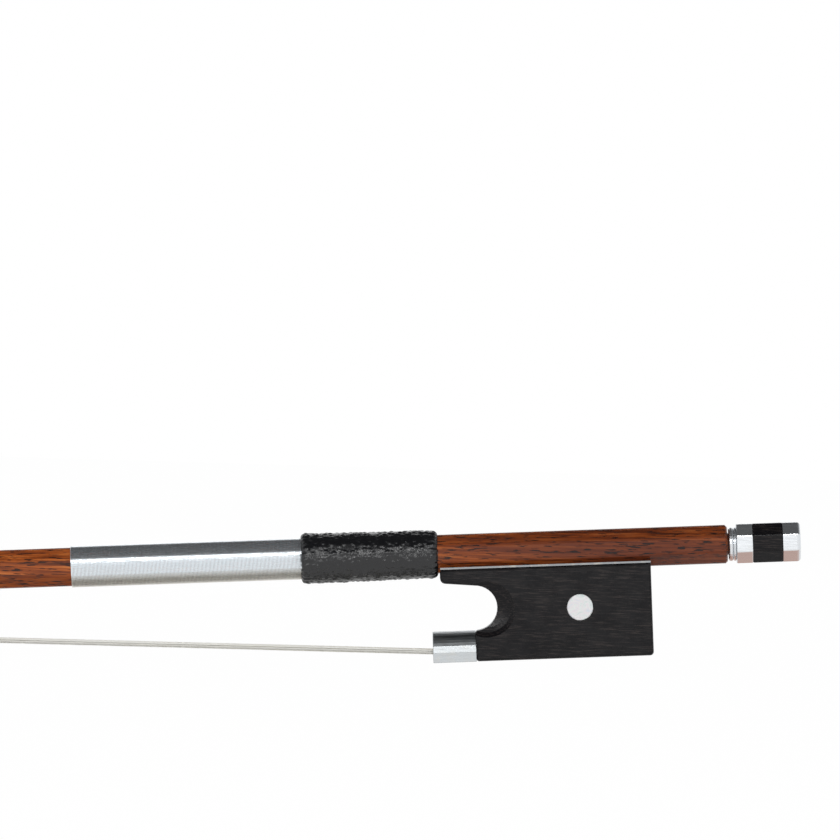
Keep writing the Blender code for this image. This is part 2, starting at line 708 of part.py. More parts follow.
def hair_path(to_world):
    """The ribbon's middle line from knot to knot, as (place, square-on direction, half-width)."""
    stations = []

    def add(place, direction, half):
        stations.append((Vector(place), Vector((-direction[1], direction[0])), half))

    inside_head = HEAD_MORTISE_HALF_WIDTH - SEAT_GAP
    x = HEAD_MORTISE_START - MIDDLE_X + SEAT_GAP + HAIR_THICKNESS / 2
    low = HAIR_THICKNESS / 2
    add((x, head_knot_height() - KNOT_RADIUS - SEAT_GAP), (0, -1), inside_head)
    bend = (x + HAIR_BEND, low + HAIR_BEND)
    for n in range(7):
        angle = math.radians(180 + 90 * n / 6)
        place = (bend[0] + HAIR_BEND * math.cos(angle), bend[1] + HAIR_BEND * math.sin(angle))
        add(place, (-math.sin(angle), math.cos(angle)), inside_head)

    mouth = to_world((FERRULE_FRONT_X, HAIR_LEVEL_FROG))
    start = Vector((bend[0] + HEAD_LENGTH - HEAD_MORTISE_START, low))
    run = (mouth - start).normalized()
    for share in (0, 0.02, 0.25, 0.5, 0.75, 0.98):
        half = mix(HAIR_HALF_WIDTH_HEAD, HAIR_HALF_WIDTH_FROG, share)
        add(start.lerp(mouth, share), run, half)

    along = Vector((math.cos(HANDLE_TILT), math.sin(HANDLE_TILT)))
    inside_frog = FROG_MORTISE_HALF_WIDTH - SEAT_GAP
    mortise_front = FROG_MORTISE_REAR - FROG_MORTISE_LENGTH
    for x, half in (
        (FERRULE_FRONT_X + 0.0005, HAIR_HALF_WIDTH_FROG),
        (FERRULE_REAR_X, HAIR_HALF_WIDTH_FROG),
        (mortise_front - SEAT_GAP, inside_frog),
    ):
        add(to_world((x, HAIR_LEVEL_FROG)), along, half)
    turn_x = FROG_MORTISE_REAR - SEAT_GAP - HAIR_THICKNESS / 2 - HAIR_BEND
    turn_z = HAIR_LEVEL_FROG + HAIR_BEND
    for n in range(7):
        angle = math.radians(-90 + 90 * n / 6)
        place = (turn_x + HAIR_BEND * math.cos(angle), turn_z + HAIR_BEND * math.sin(angle))
        heading = angle + math.pi / 2 + HANDLE_TILT
        add(to_world(place), (math.cos(heading), math.sin(heading)), inside_frog)
    knot_x, knot_z = frog_knot_place()
    heading = math.pi / 2 + HANDLE_TILT
    top = knot_z - KNOT_RADIUS - SEAT_GAP
    place = to_world((turn_x + HAIR_BEND, top))
    add(place, (math.cos(heading), math.sin(heading)), inside_frog)
    return stations


def hair_section(half):
    """The ribbon's section with a groove between each two locks: (across, above the middle)."""
    count = 2 * HAIR_LOCKS
    upper = []
    for n in range(count + 1):
        depth = HAIR_GROOVE if n % 2 == 0 else 0.0
        upper.append((mix(-half, half, n / count), HAIR_THICKNESS / 2 - depth))
    return upper + [(across, -above) for across, above in reversed(upper)]


def make_hair(parent, to_world):
    rings = []
    for place, square, half in hair_path(to_world):
        ring = []
        for across, above in hair_section(half):
            point = place + square * above
            ring.append((point.x, across, point.y))
        rings.append(ring)
    add_piece("hair_ribbon", loft("hair_ribbon", rings), HAIR, parent, crease=60)


def octagon_outline(apothem):
    flat = apothem * OCTAGON_FLAT
    return [
        (-flat, -apothem),
        (flat, -apothem),
        (apothem, -flat),
        (apothem, flat),
        (flat, apothem),
        (-flat, apothem),
        (-apothem, flat),
        (-apothem, -flat),
    ]


def make_lapping(handle):
    """The wound silver as one sleeve that keeps the stick's eight sides."""
    inner = STICK_APOTHEM + INLAY_GAP
    loops = [octagon_outline(inner + LAPPING_WALL), octagon_outline(inner)]
    front = -LAPPING_END
    mesh = section_prism("silver_lapping", loops, front, front + LAPPING_LENGTH)
    add_piece("silver_lapping", mesh, SILVER, handle)


def make_leather(handle):
    rear = FROG_FRONT_X - FACE_GAP
    front = rear - LEATHER_LENGTH
    rounding = LEATHER_ROUNDING
    start = LEATHER_RADIUS_FRONT - rounding
    end = LEATHER_RADIUS_REAR - rounding
    profile = [(front, 0)]
    profile += arc((front + rounding, start), rounding, 180, 90, 4)
    profile += arc((rear - rounding, end), rounding, 90, 0, 4)
    profile += [(rear, 0)]
    grip = add_piece("thumb_leather", turned("thumb_leather", profile, FINE_STEPS), LEATHER, handle)
    hole = octagon_outline(STICK_APOTHEM + INLAY_GAP)
    reach = OVERSHOOT
    cutter = section_prism("cut_leather", [hole], front - reach, rear + reach)
    combine(grip, add_cutter("cut_leather", cutter, handle))


def ferrule_outline(inset):
    """The ferrule's D section, drawn in by an inset: flat below, straight sides, round above."""
    half = FROG_HALF_WIDTH - inset
    bottom = FERRULE_BOTTOM + inset
    rise = FERRULE_TOP - inset - FERRULE_SIDE_TOP
    points = [(-half, bottom), (half, bottom)]
    steps = 20
    for n in range(steps + 1):
        angle = math.pi * n / steps
        points.append((half * math.cos(angle), FERRULE_SIDE_TOP + rise * math.sin(angle)))
    return points


def frog_outline():
    """The frog seen from its side, from the nose along the top and round to the thumb hollow."""
    hollow_z = (NOSE_UNDERSIDE_REAR + FERRULE_TOP) / 2
    radius = (NOSE_UNDERSIDE_REAR - FERRULE_TOP) / 2
    tongue_top = FERRULE_TOP - FERRULE_WALL - INLAY_GAP
    tongue_front = FERRULE_FRONT_X + TONGUE_SHORTER
    nose = NOSE_ROUNDING
    heel = FROG_HEEL_RADIUS
    points = [(FROG_FRONT_X, FROG_TOP), (FROG_REAR, FROG_TOP)]
    points += arc((FROG_REAR - heel, FROG_BOTTOM + heel), heel, 0, -90, 4)
    points += [
        (HOLLOW_X, FROG_BOTTOM),
        (HOLLOW_X, TONGUE_UNDERSIDE),
        (tongue_front, TONGUE_UNDERSIDE),
        (tongue_front, tongue_top),
        (HOLLOW_X, tongue_top),
    ]
    points += arc((HOLLOW_X, hollow_z), radius, -90, 90, 18)
    points += arc((FROG_FRONT_X + nose, NOSE_UNDERSIDE_FRONT + nose), nose, 270, 180, 5)
    return points


def cheek_half_width(z):
    share = (z - FROG_BOTTOM) / (FROG_TOP - FROG_BOTTOM)
    return mix(FROG_HALF_WIDTH, FROG_TOP_HALF_WIDTH, share)


def tapered_cheeks(mesh):
    """Draws the frog's cheeks in towards its top."""
    for vertex in mesh.vertices:
        vertex.co.y *= cheek_half_width(vertex.co.z) / FROG_HALF_WIDTH
    return mesh


def channel_apothem(layer):
    """Half the width of the stick's channel at the liner's inside (0), outside (1) or the ebony (2)."""
    inside = STICK_APOTHEM + SLIDING_GAP
    return inside + (0, UNDERSLIDE_THICKNESS, UNDERSLIDE_THICKNESS + INLAY_GAP)[layer]


def underslide_outline():
    """The liner's section: three of the stick's flats, with a lip over each cheek's top edge."""
    inner = channel_apothem(0)
    outer = channel_apothem(1)
    lip_bottom = FROG_TOP + INLAY_GAP
    lip_top = lip_bottom + UNDERSLIDE_LIP
    inner_reach = inner * math.sqrt(2) + lip_top
    outer_reach = outer * math.sqrt(2) + lip_bottom
    right = [
        (outer * OCTAGON_FLAT, -outer),
        (outer_reach, lip_bottom),
        (FROG_TOP_HALF_WIDTH, lip_bottom),
        (FROG_TOP_HALF_WIDTH, lip_top),
        (inner_reach, lip_top),
        (inner * OCTAGON_FLAT, -inner),
    ]
    left = [(-y, z) for y, z in reversed(right)]
    return right + left


def make_frog_body(frog):
    blank = side_prism("frog_body", [frog_outline()], FROG_HALF_WIDTH)
    blank = tapered_cheeks(rounded(blank, FROG_EDGE, segments=2))
    body = add_piece("frog_body", blank, EBONY, frog, crease=20)

    def cut(name, mesh):
        combine(body, add_cutter(name, mesh, frog))

    reach = OVERSHOOT
    around = [(-0.02, -0.04), (0.02, -0.04), (0.02, -0.01), (-0.02, -0.01)]
    tongue = ferrule_outline(FERRULE_WALL + INLAY_GAP)
    front = FERRULE_FRONT_X - reach
    cut("cut_tongue", section_prism("cut_tongue", [around, tongue], front, HOLLOW_X))

    channel = octagon_outline(channel_apothem(2))
    cut("cut_channel", section_prism("cut_channel", [channel], FROG_FRONT_X - reach, FROG_REAR + reach))

    for side in (-1, 1):
        cut(f"cut_scoop_{side}", thumb_scoop(f"cut_scoop_{side}", side))
        cut(f"cut_eye_{side}", eye_disc(f"cut_eye_{side}", side, INLAY_GAP, OVERSHOOT))

    half = SLIDE_HALF_WIDTH + INLAY_GAP
    groove = slide_outline(FROG_BOTTOM - reach, SLIDE_TOP + INLAY_GAP, half)
    cut("cut_slide", section_prism("cut_slide", [groove], HOLLOW_X - reach, slide_rear() + SEAT_GAP))

    mortise_front = FROG_MORTISE_REAR - FROG_MORTISE_LENGTH
    low = (mortise_front, -FROG_MORTISE_HALF_WIDTH, FROG_BOTTOM - reach)
    high = (FROG_MORTISE_REAR, FROG_MORTISE_HALF_WIDTH, FROG_MORTISE_TOP)
    cut("cut_frog_mortise", box("cut_frog_mortise", low, high))

    half = HAIR_HALF_WIDTH_FROG + SEAT_GAP
    low = (HOLLOW_X - reach, -half, HAIR_BOTTOM_FROG - SEAT_GAP - INLAY_GAP)
    high = (mortise_front + SEAT_GAP, half, HAIR_TOP_FROG + SEAT_GAP)
    cut("cut_hair_channel", box("cut_hair_channel", low, high))

    hole = rod("cut_eyelet_hole", EYELET_SHANK_RADIUS + SEAT_GAP, EYELET_SHANK_END - FACE_GAP, 0, Matrix())
    hole.transform(Matrix.Translation((EYELET_X, 0, 0)))
    cut("cut_eyelet_hole", hole)

    for name, x in pin_places():
        hole = rod("cut_" + name, PIN_RADIUS + INLAY_GAP, pin_bottom() - SEAT_GAP, 0, Matrix(), 16)
        hole.transform(Matrix.Translation((x, 0, 0)))
        cut("cut_" + name, hole)


def thumb_scoop(name, side):
    """A dished cutter round the thumb hollow, shallow at its middle and steep at its rim."""
    steps = 6
    floor = SCOOP_FLOOR
    profile = [(floor, 0)]
    for n in range(steps + 1):
        share = n / steps * 0.97
        rise = SCOOP_RISE * (1 - math.sqrt(1 - share * share)) / (1 - math.sqrt(1 - 0.97**2))
        profile.append((floor + rise, SCOOP_RADIUS * n / steps if n else 0.0005))
    profile += [(floor + SCOOP_RISE + OVERSHOOT, SCOOP_RADIUS), (floor + SCOOP_RISE + OVERSHOOT, 0)]
    mesh = turned(name, profile, FINE_STEPS)
    facing = Matrix.Rotation(side * math.pi / 2, 4, "Z")
    hollow_z = (NOSE_UNDERSIDE_REAR + FERRULE_TOP) / 2
    mesh.transform(Matrix.Translation((HOLLOW_X + SCOOP_SHIFT, 0, hollow_z)) @ facing)
    return mesh


def eye_disc(name, side, gap, proud):
    """A disc square to the frog's cheek at the eye, from its seat to a height above the cheek."""
    inward = PEARL_EYE_THICKNESS + gap
    disc = rod(name, PEARL_EYE_RADIUS + gap, -inward, proud, axis=Matrix(), steps=FINE_STEPS)
    lean = math.atan((FROG_HALF_WIDTH - FROG_TOP_HALF_WIDTH) / (FROG_TOP - FROG_BOTTOM))
    facing = Matrix.Rotation(-side * (math.pi / 2 - lean), 4, "X")
    place = Matrix.Translation((PEARL_EYE_X, side * cheek_half_width(PEARL_EYE_Z), PEARL_EYE_Z))
    disc.transform(place @ facing)
    return disc


def slide_outline(bottom, top, half):
    """A dovetail section, wider at its top, so that the slide can't drop out."""
    narrow = half - SLIDE_DOVETAIL
    return [(-narrow, bottom), (narrow, bottom), (half, top), (-half, top)]


def slide_rear():
    return FROG_REAR - HEEL_LENGTH


def pin_places():
    return (
        ("underslide_pin_front", FROG_FRONT_X + PIN_INSET),
        ("underslide_pin_rear", FROG_REAR - PIN_INSET),
    )


def pin_bottom():
    return -channel_apothem(0) - UNDERSLIDE_THICKNESS - PIN_LENGTH


def make_frog_fittings(frog):
    liner = section_prism("underslide", [underslide_outline()], FROG_FRONT_X + SEAT_GAP, FROG_REAR)
    underslide = add_piece("underslide", liner, SILVER, frog)
    hole = rod("cut_liner_eyelet", EYELET_SHANK_RADIUS + SEAT_GAP, -0.01, 0, Matrix())
    hole.transform(Matrix.Translation((EYELET_X, 0, 0)))
    combine(underslide, add_cutter("cut_liner_eyelet", hole, frog))
    for name, x in pin_places():
        hole = rod("cut_liner_" + name, PIN_RADIUS + INLAY_GAP, -0.01, 0, Matrix(), 16)
        hole.transform(Matrix.Translation((x, 0, 0)))
        combine(underslide, add_cutter("cut_liner_" + name, hole, frog))
        pin = rod(name, PIN_RADIUS, pin_bottom(), -channel_apothem(0) - INLAY_GAP, Matrix(), 16)
        pin.transform(Matrix.Translation((x, 0, 0)))
        add_piece(name, pin, SILVER, frog)

    for name, side in (("pearl_eye_left", 1), ("pearl_eye_right", -1)):
        disc = rounded(eye_disc(name, side, 0.0, 0.0), 0.00012, segments=1)
        add_piece(name, disc, PEARL, frog)

    loops = [ferrule_outline(0), ferrule_outline(FERRULE_WALL)]
    ring = section_prism("ferrule", loops, FERRULE_FRONT_X, FERRULE_REAR_X - SEAT_GAP)
    add_piece("ferrule", rounded(ring, 0.0001, segments=1, least_angle=70), SILVER, frog, crease=25)

    front = FERRULE_FRONT_X + SEAT_GAP
    thin = TONGUE_UNDERSIDE - INLAY_GAP
    wedge = [
        (front, HAIR_TOP_FROG + INLAY_GAP),
        (front + WEDGE_LENGTH, HAIR_TOP_FROG + INLAY_GAP + WEDGE_THICKNESS / 3),
        (front + WEDGE_LENGTH, thin),
        (front, thin),
    ]
    add_piece("spread_wedge", side_prism("spread_wedge", [wedge], WEDGE_HALF_WIDTH), MAPLE, frog)

    slide_front = FERRULE_REAR_X - SLIDE_INSIDE_FERRULE
    layers = (
        ("pearl_slide", PEARL_SLIDE_BOTTOM, PEARL_SLIDE_THICKNESS, PEARL),
        ("slide_base", SLIDE_BASE_BOTTOM, SLIDE_BASE_THICKNESS, EBONY),
    )
    depth = SLIDE_TOP - (FROG_BOTTOM - OVERSHOOT)
    for name, bottom, thickness, look in layers:
        low = SLIDE_HALF_WIDTH - SLIDE_DOVETAIL * (SLIDE_TOP - bottom) / depth
        high = SLIDE_HALF_WIDTH - SLIDE_DOVETAIL * (SLIDE_TOP - bottom - thickness) / depth
        outline = [(-low, bottom), (low, bottom), (high, bottom + thickness), (-high, bottom + thickness)]
        mesh = section_prism(name, [outline], slide_front, slide_rear())
        add_piece(name, mesh, look, frog)

    knot_x, knot_z = frog_knot_place()
    half = FROG_MORTISE_HALF_WIDTH - SEAT_GAP
    knot = rounded(rod("frog_hair_knot", KNOT_RADIUS, -half, half, TO_Y, 20), KNOT_RADIUS * 0.35)
    knot.transform(Matrix.Translation((knot_x, 0, knot_z)))
    add_piece("frog_hair_knot", knot, HAIR, frog)

    low = (FROG_MORTISE_REAR - FROG_MORTISE_LENGTH + SEAT_GAP, -half, HAIR_TOP_FROG + FACE_GAP)
    rear = FROG_MORTISE_REAR - HAIR_THICKNESS - 2 * SEAT_GAP - FACE_GAP
    high = (rear, half, knot_z - KNOT_RADIUS - SEAT_GAP)
    plug = rounded(box("frog_plug", low, high), 0.0002, segments=1)
    add_piece("frog_plug", plug, MAPLE, frog)


def make_eyelet(frog):
    reach = EYELET_LENGTH / 2
    half = EYELET_WIDTH / 2
    bottom = -channel_apothem(0) + INLAY_GAP
    block = box("eyelet", (EYELET_X - reach, -half, bottom), (EYELET_X + reach, half, EYELET_TOP))
    block = rounded(block, 0.0007, segments=3, where=lambda edge: is_upper_edge(edge, EYELET_TOP))
    eyelet = add_piece("eyelet", block, BRASS, frog)
    shank = rod("join_eyelet_shank", EYELET_SHANK_RADIUS, EYELET_SHANK_END, bottom + 0.001, Matrix())
    shank.transform(Matrix.Translation((EYELET_X, 0, 0)))
    combine(eyelet, add_cutter("join_eyelet_shank", shank, frog), "UNION")
    bore = rod("cut_eyelet_bore", SCREW_RADIUS + RUNNING_GAP, -0.05, 0.0)
    combine(eyelet, add_cutter("cut_eyelet_bore", bore, frog))


def is_upper_edge(edge, top):
    return all(abs(vertex.co.z - top) < 1e-6 for vertex in edge.verts)


def make_adjuster(adjuster):
    """The screw and the button that turns it: collar, ebony core and end cap."""
    end = -SCREW_INSIDE_STICK
    tip = end + SCREW_TIP_LENGTH
    profile = [
        (end, 0),
        (end, SCREW_TIP_RADIUS - 0.0003),
        (end + 0.0003, SCREW_TIP_RADIUS),
        (tip, SCREW_TIP_RADIUS),
        (tip + 0.0003, SCREW_RADIUS),
        (NIPPLE_LENGTH, SCREW_RADIUS),
        (NIPPLE_LENGTH, SCREW_TANG_RADIUS),
        (SCREW_TANG_END, SCREW_TANG_RADIUS),
        (SCREW_TANG_END, 0),
    ]
    add_piece("adjuster_screw", turned("adjuster_screw", profile), STEEL, adjuster)

    apothem = BUTTON_WIDTH / 2
    reach = OVERSHOOT
    bore = SCREW_TANG_RADIUS + INLAY_GAP
    ring = rounded(octagon_rod("button_collar", apothem, COLLAR_RING_FRONT, COLLAR_REAR), BUTTON_EDGE, 2, 30)
    collar = add_piece("button_collar", ring, SILVER, adjuster)
    beads = add_cutter("join_collar_beads", collar_beads("join_collar_beads"), adjuster)
    combine(collar, beads, "UNION")
    recess_end = NIPPLE_LENGTH + FACE_GAP
    recess = [
        (COLLAR_FRONT - reach, 0),
        (COLLAR_FRONT - reach, NIPPLE_RADIUS + RUNNING_GAP),
        (recess_end, NIPPLE_RADIUS + RUNNING_GAP),
        (recess_end, bore),
        (COLLAR_REAR + reach, bore),
        (COLLAR_REAR + reach, 0),
    ]
    combine(collar, add_cutter("cut_collar_bore", turned("cut_collar_bore", recess), adjuster))

    core = rounded(octagon_rod("button_core", apothem, CORE_FRONT, CORE_REAR), BUTTON_EDGE, 2, 30)
    core = add_piece("button_core", core, EBONY, adjuster)
    hole = rod("cut_core_bore", bore, CORE_FRONT - reach, CORE_REAR + reach)
    combine(core, add_cutter("cut_core_bore", hole, adjuster))

    cap = octagon_rod("button_end_cap", apothem, CAP_FRONT, CAP_REAR)
    cap = rounded(cap, BUTTON_CAP_ROUNDING, 4, 80, lambda edge: is_rear_edge(edge, CAP_REAR))
    cap = rounded(cap, BUTTON_EDGE, 2, 30, lambda edge: is_long_edge(edge))
    cap = add_piece("button_end_cap", cap, SILVER, adjuster)
    hole = rod("cut_cap_bore", bore, CAP_FRONT - reach, SCREW_TANG_END + FACE_GAP)
    combine(cap, add_cutter("cut_cap_bore", hole, adjuster))


def is_rear_edge(edge, rear):
    return all(abs(vertex.co.x - rear) < 1e-6 for vertex in edge.verts)


def is_long_edge(edge):
    first, second = edge.verts
    across = (first.co - second.co).yz.length
    return across < 1e-6


def collar_beads(name):
    """Two turned beads in front of the collar's eight-sided ring, with a neck between them."""
    profile = [(COLLAR_FRONT, 0)]
    front = COLLAR_FRONT
    for length in COLLAR_BEAD_LENGTHS:
        crown = COLLAR_BEAD_RADIUS - COLLAR_NECK_RADIUS
        steps = 6
        for n in range(steps + 1):
            angle = math.pi * n / steps
            x = front + length * (1 - math.cos(angle)) / 2
            profile.append((x, COLLAR_NECK_RADIUS + crown * math.sin(angle)))
        front += length
    inside = COLLAR_RING_FRONT + COLLAR_RING_LENGTH / 4
    profile += [(inside, COLLAR_NECK_RADIUS), (inside, 0)]
    return turned(name, unrepeated(profile), FINE_STEPS)


def unrepeated(points):
    kept = [points[0]]
    for point in points[1:]:
        if math.dist(point, kept[-1]) > 1e-7:
            kept.append(point)
    return kept


def build():
    bow = add_empty("bow", None)
    butt = (BUTT_X - MIDDLE_X, 0, BUTT_Z)
    handle = add_empty("handle_axis", bow, butt, HANDLE_TILT)
    frog = add_empty("frog_travel_axis", handle)
    adjuster = add_empty("button_turn_axis", handle)

    def to_world(place):
        """A handle-frame (x, z) place as a world (x, z) place."""
        x, z = place
        return Vector(
            (
                butt[0] + x * math.cos(HANDLE_TILT) - z * math.sin(HANDLE_TILT),
                butt[2] + x * math.sin(HANDLE_TILT) + z * math.cos(HANDLE_TILT),
            )
        )

    make_stick(bow, handle)
    make_head_fittings(bow)
    make_hair(bow, to_world)
    make_lapping(handle)
    make_leather(handle)
    make_frog_body(frog)
    make_frog_fittings(frog)
    make_eyelet(frog)
    make_adjuster(adjuster)


clear_scene()
parts = new_collection("violin_bow")
cutters = new_collection("cutters")
build()
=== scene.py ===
"""Looks of the violin bow: finishes for its solids, its loose hairs, its wound wire and its leather."""

import json
import math
import random

import bpy
from mathutils import Matrix, Vector, noise

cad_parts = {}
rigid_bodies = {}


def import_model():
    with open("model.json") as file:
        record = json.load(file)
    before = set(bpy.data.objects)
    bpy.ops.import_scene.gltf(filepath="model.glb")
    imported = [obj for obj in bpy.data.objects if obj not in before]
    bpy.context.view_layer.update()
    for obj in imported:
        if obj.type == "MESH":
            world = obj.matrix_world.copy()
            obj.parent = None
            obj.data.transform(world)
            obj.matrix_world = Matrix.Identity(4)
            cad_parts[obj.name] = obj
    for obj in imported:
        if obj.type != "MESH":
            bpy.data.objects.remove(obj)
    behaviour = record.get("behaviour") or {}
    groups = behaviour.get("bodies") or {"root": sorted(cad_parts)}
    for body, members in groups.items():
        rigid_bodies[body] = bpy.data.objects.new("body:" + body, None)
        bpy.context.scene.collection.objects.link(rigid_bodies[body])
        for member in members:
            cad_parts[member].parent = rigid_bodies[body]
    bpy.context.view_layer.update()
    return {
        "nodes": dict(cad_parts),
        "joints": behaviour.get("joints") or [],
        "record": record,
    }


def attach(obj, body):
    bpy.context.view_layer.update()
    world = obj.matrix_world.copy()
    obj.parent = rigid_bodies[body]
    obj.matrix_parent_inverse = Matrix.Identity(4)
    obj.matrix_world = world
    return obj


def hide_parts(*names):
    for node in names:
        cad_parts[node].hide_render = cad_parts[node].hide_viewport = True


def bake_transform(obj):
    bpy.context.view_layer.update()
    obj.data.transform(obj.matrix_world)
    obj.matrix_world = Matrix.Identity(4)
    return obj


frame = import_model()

JOINTS = {joint["name"]: joint for joint in frame["joints"]}
STICK_BODY = JOINTS["frog_travel"]["parent"]

# The handle's own frame: its origin is the middle of the butt, its first axis is the screw's
BUTT = Vector(JOINTS["button_turn"]["pos_m"])
ALONG = Vector(JOINTS["frog_travel"]["axis"]).normalized()
ACROSS = Vector((0, 1, 0))
UP = ALONG.cross(ACROSS)

# The wound wire, with lengths in metres here and below
STICK_APOTHEM = 0.00425
WIRE_DIAMETER = 0.00030
WIRE_SIDES = 6
WIRE_GAP = 0.00003
WIRE_CORNER_SHARE = 0.16
LAPPING_FRONT = -0.1459
LAPPING_LENGTH = 0.0516

# The leather grip: its sizes, its pebbled skin, its gathered ends and its seam
LEATHER_FRONT = -0.0947
LEATHER_REAR = -0.0643
LEATHER_RADIUS_FRONT = 0.00572
LEATHER_RADIUS_REAR = 0.00542
LEATHER_LEAST_RADIUS = 0.0044
LEATHER_ROUNDING = 0.0013
LEATHER_ROUNDING_STEPS = 8
LEATHER_ROWS = 170
LEATHER_SIDES = 200
LEATHER_FLATNESS = 0.985
LEATHER_ROUND_SHARE = 0.86
LEATHER_BORE_INSET = 0.0002
LEATHER_BORE_GAP = 0.00006
PEBBLE_SIZE = 0.00105
PEBBLE_DEPTH = 0.00016
PEBBLE_SPREAD = 0.30
SWELL_SIZE = 0.0024
SWELL_HEIGHT = 0.00012
PUCKERS = 26
PUCKER_DEPTH = 0.00018
PUCKER_REACH = 0.0011
SEAM_WIDTH = 0.00022
SEAM_DEPTH = 0.00016

# The loose hairs
HAIR_COUNT = 300
HAIR_LAYERS = 6
HAIR_RADIUS = 0.000085
HAIR_SIDES = 4
HAIR_THICKNESS = 0.0012
HAIR_WANDER = 0.00006
HAIR_STEPS = 34
HAIR_HALF_WIDTH_HEAD = 0.0038
HAIR_HALF_WIDTH_FROG = 0.0047
HAIR_HEAD_X = -0.3580
HAIR_FOLD = 0.0014
HAIR_FOLD_STEPS = 5
HAIR_FROG_X = -0.0661
HAIR_FROG_Z = -0.0216
HAIR_END_X = -0.0520

# Studio
FLOOR_REACH = 8.0
FLOOR_LEVEL = -0.0002
FLOOR_GLOW_SHARE = 0.99

# Camera: the photograph's lower crop, at its place and scale
IMAGE_SIZE = 840
CROP_SCALE = 0.0002222
BUTT_PIXEL = (727, 544)
PICTURE_ROLL = math.radians(1.67)
CAMERA_DISTANCE = 2.0
SENSOR = 36.0


def handle(x, y, z):
    """A place in the handle's frame as a world place."""
    return BUTT + ALONG * x + ACROSS * y + UP * z


# Node helpers


def connect(tree, socket, value):
    """Feeds an input from a socket, or sets it to a constant."""
    if isinstance(value, bpy.types.NodeSocket):
        tree.links.new(value, socket)
    else:
        socket.default_value = value


def put(tree, kind, settings=None, **values):
    """Adds a shader node. A value is a constant or the socket that feeds the input."""
    made = tree.nodes.new("ShaderNode" + kind)
    for name, setting in (settings or {}).items():
        setattr(made, name, setting)
    for name, value in values.items():
        connect(tree, made.inputs[name.replace("_", " ")], value)
    return made


def new_material(name, **constants):
    """A material whose shader's constants are set on its own sockets."""
    made = bpy.data.materials.new(name)
    made.use_nodes = True
    shader = made.node_tree.nodes["Principled BSDF"]
    for key, value in constants.items():
        shader.inputs[key.replace("_", " ")].default_value = value
    return made, made.node_tree, shader


def stretched(tree, scale, turn=(0, 0, 0)):
    """The object's own coordinates, in cells per metre along each axis."""
    place = put(tree, "TexCoord").outputs["Object"]
    return put(tree, "Mapping", Vector=place, Rotation=turn, Scale=scale).outputs[0]


def clouds(tree, vector, detail=4.0, roughness=0.55, distortion=0.0):
    """Noise from 0 to 1 whose cells are the vector's units."""
    made = put(
        tree,
        "TexNoise",
        Vector=vector,
        Scale=1.0,
        Detail=detail,
        Roughness=roughness,
        Distortion=distortion,
    )
    return made.outputs["Fac"]


def ramp(tree, factor, stops):
    """A colour ramp from (place, grey or colour) stops."""
    made = put(tree, "ValToRGB", Fac=factor)
    elements = made.color_ramp.elements
    while len(elements) < len(stops):
        elements.new(0.5)
    for element, (place, colour) in zip(elements, stops):
        if not isinstance(colour, tuple):
            colour = (colour, colour, colour)
        element.position = place
        element.color = (*colour, 1.0)
    return made.outputs["Color"]


def blend_colours(tree, factor, first, second, mode="MIX"):
    """The first colour mixed with the second by a factor."""
    made = tree.nodes.new("ShaderNodeMix")
    made.data_type = "RGBA"
    made.blend_type = mode
    for socket, value in ((made.inputs[0], factor), (made.inputs[6], first), (made.inputs[7], second)):
        if isinstance(value, tuple):
            value = (*value, 1.0)
        connect(tree, socket, value)
    return made.outputs[2]


def between(tree, value, low, high, out_low, out_high):
    """A smooth step of a value from one range to another."""
    made = put(
        tree,
        "MapRange",
        {"interpolation_type": "SMOOTHSTEP"},
        Value=value,
        From_Min=low,
        From_Max=high,
        To_Min=out_low,
        To_Max=out_high,
    )
    return made.outputs["Result"]


def relief(tree, height, distance, strength=1.0, normal=None):
    """The normal of a bump over a height, on top of another normal if one is given."""
    made = put(tree, "Bump", Height=height, Distance=distance, Strength=strength)
    if normal is not None:
        tree.links.new(normal, made.inputs["Normal"])
    return made.outputs["Normal"]


# Finishes


def pernambuco():
    """Varnished wood with long grain, short dark pores and a darker, handled end."""
    made, tree, shader = new_material(
        "pernambuco_grain", Specular_IOR_Level=0.22, Coat_Weight=0.10, Coat_Roughness=0.16
    )
    grain = clouds(tree, stretched(tree, (48, 1500, 1500)), 8.0, 0.66)
    colour = ramp(
        tree,
        grain,
        [
            (0.30, (0.040, 0.009, 0.004)),
            (0.43, (0.200, 0.042, 0.009)),
            (0.55, (0.460, 0.105, 0.018)),
            (0.70, (0.720, 0.240, 0.060)),
        ],
    )
    patches = clouds(tree, stretched(tree, (14, 160, 220)), 3.0)
    redness = between(tree, patches, 0.42, 0.60, 0.0, 0.6)
    colour = blend_colours(tree, redness, colour, (0.270, 0.060, 0.018))
    pores = clouds(tree, stretched(tree, (360, 3900, 3900)), 1.0, 0.40)
    crowding = clouds(tree, stretched(tree, (45, 420, 420)), 2.0)
    crowded = put(tree, "Math", {"operation": "MULTIPLY_ADD"})
    connect(tree, crowded.inputs[0], crowding)
    crowded.inputs[1].default_value = 0.28
    connect(tree, crowded.inputs[2], pores)
    fleck = between(tree, crowded.outputs[0], 0.745, 0.790, 0.0, 0.94)
    colour = blend_colours(tree, fleck, colour, (0.016, 0.008, 0.007))
    place = put(tree, "SeparateXYZ", Vector=put(tree, "TexCoord").outputs["Object"])
    handled = between(tree, place.outputs["X"], 0.270, 0.330, 0.0, 0.85)
    darker = blend_colours(tree, 1.0, colour, (0.46, 0.42, 0.52), "MULTIPLY")
    colour = blend_colours(tree, handled, colour, darker)
    tree.links.new(colour, shader.inputs["Base Color"])
    tree.links.new(between(tree, grain, 0.3, 0.7, 0.42, 0.27), shader.inputs["Roughness"])
    lines = relief(tree, grain, 0.00004, 0.5)
    tree.links.new(relief(tree, fleck, -0.00005, 0.6, lines), shader.inputs["Normal"])
    return made


